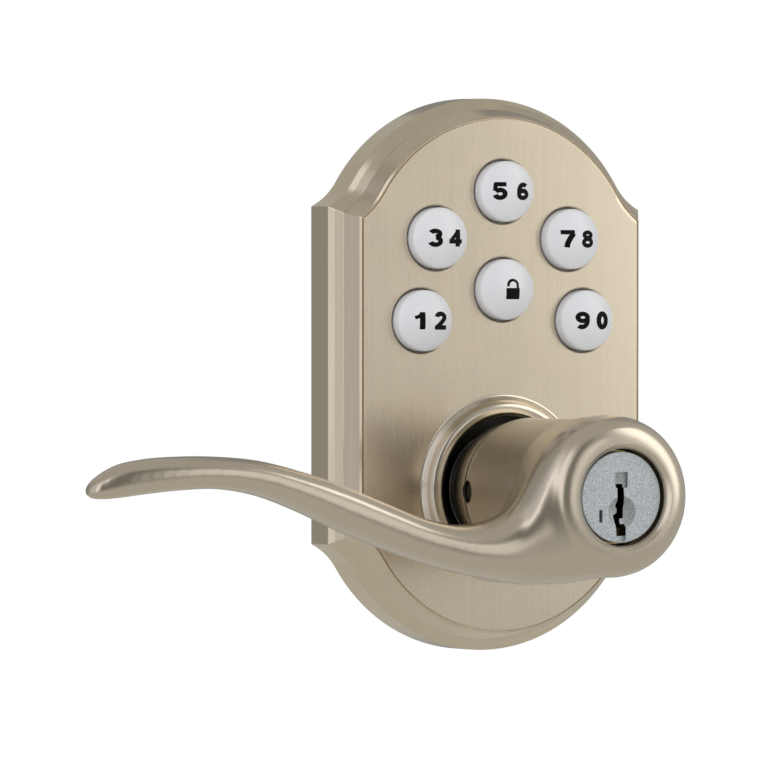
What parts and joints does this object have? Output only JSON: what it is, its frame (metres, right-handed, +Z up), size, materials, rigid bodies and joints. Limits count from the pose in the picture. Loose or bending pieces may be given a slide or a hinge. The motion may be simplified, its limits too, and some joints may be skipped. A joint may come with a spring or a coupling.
{
  "type": "keypad lever lock",
  "caption": "Wall-hung outside half of an electronic door lock: arched metal escutcheon with domed digit keys, a wavy lever handle and a key cylinder in its head.",
  "frame": {"origin": "where the lever's axis meets the door's face, on the plane of the escutcheon's back rim", "axes": "+X right along the door, away from the lever's tip; +Y into the door along the lever's axis; +Z up"},
  "size_m": [0.1683, 0.0973, 0.1349],
  "materials": {
    "satin_nickel": "vertically brushed satin nickel plate over zinc",
    "lever_nickel": "satin nickel plate, finely brushed along the arm",
    "zinc_steel": "zinc plated steel",
    "spring_steel": "dark spring steel",
    "cast_nickel": "sand textured grey metal",
    "brass": "turned brass",
    "white_plastic": "smooth semi-gloss",
    "black_plastic": "matt black",
    "rubber": "matt silicone rubber",
    "foam": "closed-cell foam",
    "board_green": "solder mask"
  },
  "bodies": {
    "housing": {"escutcheon": "satin_nickel", "back_plate": "zinc_steel", "door_gasket": "foam", "plate_screw_1": "zinc_steel", "plate_screw_2": "zinc_steel", "plate_screw_3": "zinc_steel", "plate_screw_4": "zinc_steel", "cable_grommet": "rubber", "mounting_post_left": "zinc_steel", "mounting_post_right": "zinc_steel", "keypad_board": "board_green", "keypad_mat": "rubber", "switch_12": "black_plastic", "switch_34": "black_plastic", "switch_56": "black_plastic", "switch_78": "black_plastic", "switch_90": "black_plastic", "switch_lock": "black_plastic", "board_screw_1": "zinc_steel", "board_screw_2": "zinc_steel", "board_screw_3": "zinc_steel", "board_screw_4": "zinc_steel", "controller_chip": "black_plastic", "buzzer": "black_plastic", "cable_socket": "white_plastic", "spring_cage": "zinc_steel", "spring_cage_cover": "zinc_steel", "return_spring": "spring_steel", "spindle_bushing": "brass"},
    "lever": {"lever": "lever_nickel", "spindle_sleeve": "zinc_steel", "spindle_clip": "spring_steel", "spring_driver": "zinc_steel", "cylinder_housing": "brass", "catch_spring": "spring_steel"},
    "key": {"key_plug": "cast_nickel", "wafer_1": "brass", "wafer_2": "brass", "wafer_3": "brass", "wafer_4": "brass", "wafer_5": "brass", "plug_clip": "spring_steel", "tailpiece": "zinc_steel"},
    "catch": {"lever_catch": "zinc_steel"},
    "button_12": {"button_12": "white_plastic"},
    "button_34": {"button_34": "white_plastic"},
    "button_56": {"button_56": "white_plastic"},
    "button_78": {"button_78": "white_plastic"},
    "button_90": {"button_90": "white_plastic"},
    "button_lock": {"button_lock": "white_plastic"}
  },
  "joints": [
    {"name": "lever_turn", "type": "hinge", "parent": "housing", "child": "lever", "pos_m": [0, 0, 0], "axis": [0, 1, 0], "range_deg": [-48, 48], "stiffness_Nm_per_rad": 4, "springref_deg": 1.72},
    {"name": "key_turn", "type": "hinge", "parent": "lever", "child": "key", "pos_m": [0, 0, 0], "axis": [0, 1, 0], "range_deg": [-90, 90]},
    {"name": "catch_press", "type": "slide", "parent": "lever", "child": "catch", "axis": [1, 0, 0], "range_m": [0, 0.0037], "stiffness_N_per_m": 900},
    {"name": "button_12_press", "type": "slide", "parent": "housing", "child": "button_12", "axis": [0, 1, 0], "range_m": [0, 0.001], "stiffness_N_per_m": 500},
    {"name": "button_34_press", "type": "slide", "parent": "housing", "child": "button_34", "axis": [0, 1, 0], "range_m": [0, 0.001], "stiffness_N_per_m": 500},
    {"name": "button_56_press", "type": "slide", "parent": "housing", "child": "button_56", "axis": [0, 1, 0], "range_m": [0, 0.001], "stiffness_N_per_m": 500},
    {"name": "button_78_press", "type": "slide", "parent": "housing", "child": "button_78", "axis": [0, 1, 0], "range_m": [0, 0.001], "stiffness_N_per_m": 500},
    {"name": "button_90_press", "type": "slide", "parent": "housing", "child": "button_90", "axis": [0, 1, 0], "range_m": [0, 0.001], "stiffness_N_per_m": 500},
    {"name": "button_lock_press", "type": "slide", "parent": "housing", "child": "button_lock", "axis": [0, 1, 0], "range_m": [0, 0.001], "stiffness_N_per_m": 500}
  ]
}
